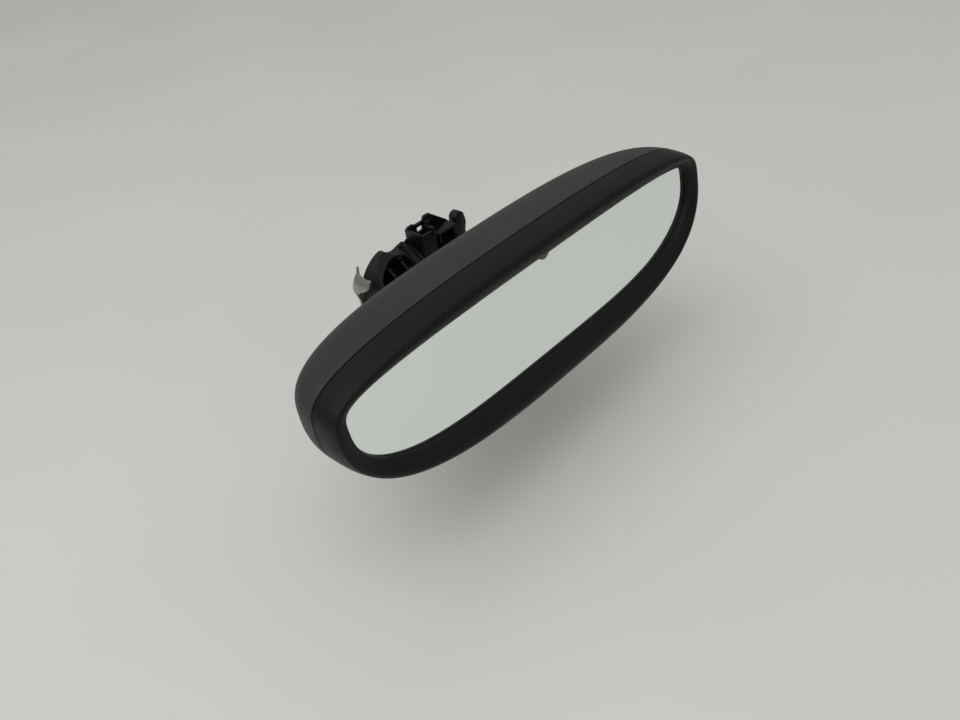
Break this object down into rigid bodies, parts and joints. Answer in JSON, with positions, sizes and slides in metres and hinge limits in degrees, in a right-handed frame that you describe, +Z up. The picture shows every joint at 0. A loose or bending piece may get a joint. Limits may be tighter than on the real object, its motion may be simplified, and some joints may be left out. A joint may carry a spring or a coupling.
{
  "type": "interior rearview mirror",
  "caption": "Wide auto-dimming interior rearview mirror: a rounded black housing and bezel round the glass, on a double ball-socket arm with a clip-on windscreen foot.",
  "frame": {"origin": "middle of the foot's windscreen bearing face", "axes": "+X along the mirror, +Y out of the bearing face towards the windscreen and away from the viewer, +Z up as the head stands"},
  "size_m": [0.2499, 0.1108, 0.0759],
  "materials": {
    "grained_plastic": "moulded ABS with a fine even grain, dark grey-black",
    "bezel_plastic": "smoother moulded black plastic, soft satin",
    "foot_plastic": "glass-filled nylon, black, as moulded",
    "carrier_plastic": "black moulded plastic, unseen",
    "connector_plastic": "black moulded plastic",
    "mirror_glass": "clear glass in front of a silvered glass, faint green cast",
    "mirror_coating": "reflecting coating on the rear glass",
    "sensor_window": "smoked glossy lens",
    "sealant": "dark grey cured edge seal",
    "foam": "black adhesive foam",
    "circuit_board": "green solder mask",
    "chip_resin": "black moulding resin",
    "capacitor_can": "bright drawn can",
    "white_nylon": "natural nylon",
    "ball_steel": "turned and polished steel",
    "arm_steel": "black coated steel tube",
    "screw_steel": "blackened zinc plate",
    "spring_steel": "stainless spring strip and wire",
    "acetal": "natural acetal",
    "cast_alloy": "die-cast alloy, lightly blasted",
    "brass": "plain brass"
  },
  "bodies": {
    "foot": {"foot_ball_stud": "ball_steel", "mount_shoe": "cast_alloy", "mount_carrier": "foot_plastic", "connector_holder": "foot_plastic", "connector_header": "connector_plastic", "cover_catch": "foot_plastic", "retaining_spring": "spring_steel", "connector_pin_1": "brass", "connector_pin_2": "brass", "connector_pin_3": "brass", "connector_pin_4": "brass", "carrier_screw_1": "screw_steel", "carrier_screw_2": "screw_steel"},
    "foot_socket": {"foot_ball_cup": "acetal", "foot_ball_ring": "acetal"},
    "arm": {"arm_tube": "arm_steel", "arm_spring": "spring_steel", "foot_spring_washer": "ball_steel", "head_spring_washer": "ball_steel"},
    "head_socket_cup": {"head_ball_cup": "acetal"},
    "head_socket_ring": {"head_ball_ring": "acetal"},
    "head": {"rear_housing": "grained_plastic", "front_bezel": "bezel_plastic", "front_glass": "mirror_glass", "rear_glass": "mirror_coating", "cell_seal": "sealant", "upper_bus_clip": "brass", "lower_bus_clip": "brass", "glass_pad": "foam", "glass_carrier": "carrier_plastic", "glare_sensor_lens": "sensor_window", "ambient_sensor_lens": "sensor_window", "circuit_board": "circuit_board", "glare_sensor": "chip_resin", "ambient_sensor": "chip_resin", "control_chip": "chip_resin", "capacitor": "capacitor_can", "board_connector": "white_nylon", "head_ball_stud": "ball_steel", "stud_screw_1": "screw_steel", "stud_screw_2": "screw_steel", "stud_screw_3": "screw_steel", "stud_screw_4": "screw_steel", "board_screw_1": "screw_steel", "board_screw_2": "screw_steel"}
  },
  "joints": [
    {"name": "foot_swivel", "type": "hinge", "parent": "foot", "child": "foot_socket", "pos_m": [0, -0.022, 0.004], "axis": [0, 0, 1], "range_deg": [-12, 12]},
    {"name": "foot_tilt", "type": "hinge", "parent": "foot_socket", "child": "arm", "pos_m": [0, -0.022, 0.004], "axis": [1, 0, 0], "range_deg": [-10, 10]},
    {"name": "head_roll", "type": "hinge", "parent": "arm", "child": "head_socket_cup", "pos_m": [0, -0.06, 0.004], "axis": [0, 1, 0], "range_deg": [-8, 8]},
    {"name": "head_swivel", "type": "hinge", "parent": "head_socket_cup", "child": "head_socket_ring", "pos_m": [0, -0.06, 0.004], "axis": [0, 0, 1], "range_deg": [-16, 16]},
    {"name": "head_tilt", "type": "hinge", "parent": "head_socket_ring", "child": "head", "pos_m": [0, -0.06, 0.004], "axis": [-1, 0, 0], "range_deg": [-16, 16]}
  ]
}
